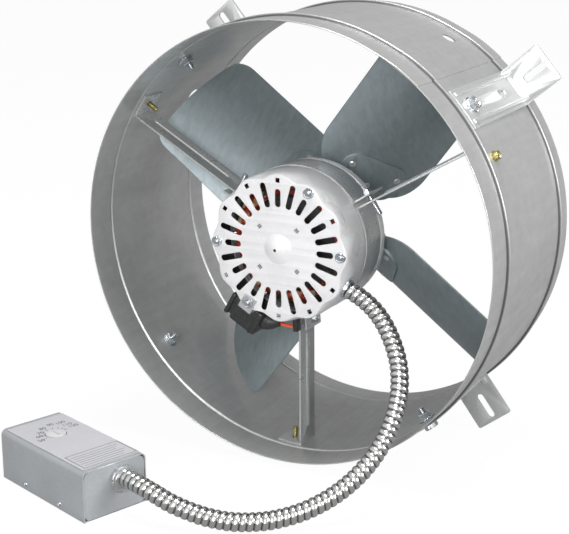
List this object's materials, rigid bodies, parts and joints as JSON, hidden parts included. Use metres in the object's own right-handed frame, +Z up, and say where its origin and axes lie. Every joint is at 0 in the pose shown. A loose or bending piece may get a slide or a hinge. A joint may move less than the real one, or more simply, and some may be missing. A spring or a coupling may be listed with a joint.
{
  "type": "attic gable fan",
  "caption": "Attic gable fan: a rolled steel drum with wall brackets, a vented motor on strip arms, a bladed fan, and a thermostat box on flexible conduit.",
  "frame": {"origin": "centre of the drum's outlet rim, on the fan axis", "axes": "+Y along the fan axis, out of the outlet, the way the air leaves; +Z up; the motor side faces -Y"},
  "size_m": [0.3865, 0.3495, 0.3821],
  "materials": {
    "galvanised": "satin galvanised sheet with faint spangle",
    "zinc_plate": "bright zinc plate",
    "yellow_zinc": "yellow passivated zinc plate",
    "white_enamel": "smooth white enamel",
    "blade_steel": "blue grey galvanised steel",
    "grey_paint": "satin grey paint",
    "lamination_steel": "dark stacked laminations",
    "copper_winding": "varnished copper wire",
    "bearing_bronze": "plain bronze",
    "shaft_steel": "ground steel",
    "cast_aluminium": "cast",
    "black_plastic": "matte moulded",
    "black_rubber": "soft matte",
    "lead_insulation": "smooth extruded",
    "black_insulation": "smooth extruded",
    "bright_conduit": "bright interlocked metal strip",
    "label_film": "printed film",
    "brass_screw": "bright turned",
    "green_screw": "green dyed",
    "white_plastic": "moulded"
  },
  "bodies": {
    "fan_frame": {"drum_shell": "galvanised", "wall_bracket_1": "galvanised", "wall_bracket_2": "galvanised", "wall_bracket_3": "galvanised", "wall_bracket_4": "galvanised", "bracket_bolts": "zinc_plate", "bracket_nuts": "zinc_plate", "motor_arm_1": "galvanised", "motor_arm_2": "galvanised", "motor_arm_3": "galvanised", "arm_end_screws": "yellow_zinc", "clamp_screws": "yellow_zinc", "inlet_end_shield": "white_enamel", "motor_shell": "galvanised", "outlet_end_shield": "galvanised", "stator_core": "lamination_steel", "stator_windings": "copper_winding", "inlet_bearing": "bearing_bronze", "outlet_bearing": "bearing_bronze", "through_bolts": "zinc_plate", "through_bolt_nuts": "zinc_plate", "run_capacitor": "black_plastic", "capacitor_tab": "galvanised", "capacitor_boot": "black_rubber", "capacitor_leads": "lead_insulation", "lead_grommet": "black_rubber", "motor_connector": "zinc_plate", "flexible_conduit": "bright_conduit", "thermostat_base": "grey_paint", "thermostat_cover": "grey_paint", "thermostat_label": "label_film", "cover_screws": "zinc_plate", "box_connector": "zinc_plate", "connector_locknut": "zinc_plate", "knockout_slug": "grey_paint", "switch_bracket": "galvanised", "switch_body": "black_plastic", "bimetal_strip": "bearing_bronze", "terminal_screws": "brass_screw", "switch_leads": "black_insulation", "ground_screw": "green_screw"},
    "rotor": {"rotor_core": "lamination_steel", "rotor_cage": "cast_aluminium", "motor_shaft": "shaft_steel", "thrust_collars": "bearing_bronze", "hub_spider": "blade_steel", "hub_collar": "zinc_plate", "hub_set_screw": "shaft_steel", "blade_rivets": "zinc_plate", "fan_blade_1": "blade_steel", "fan_blade_2": "blade_steel", "fan_blade_3": "blade_steel", "fan_blade_4": "blade_steel"},
    "dial": {"thermostat_dial": "white_plastic"}
  },
  "joints": [
    {"name": "fan_spin", "type": "hinge", "parent": "fan_frame", "child": "rotor", "pos_m": [0, -0.1, 0], "axis": [0, -1, 0], "continuous": true},
    {"name": "thermostat_dial_turn", "type": "hinge", "parent": "fan_frame", "child": "dial", "pos_m": [-0.14985, -0.29567, -0.1495], "axis": [0, 0, 1], "range_deg": [-90, 90]}
  ]
}
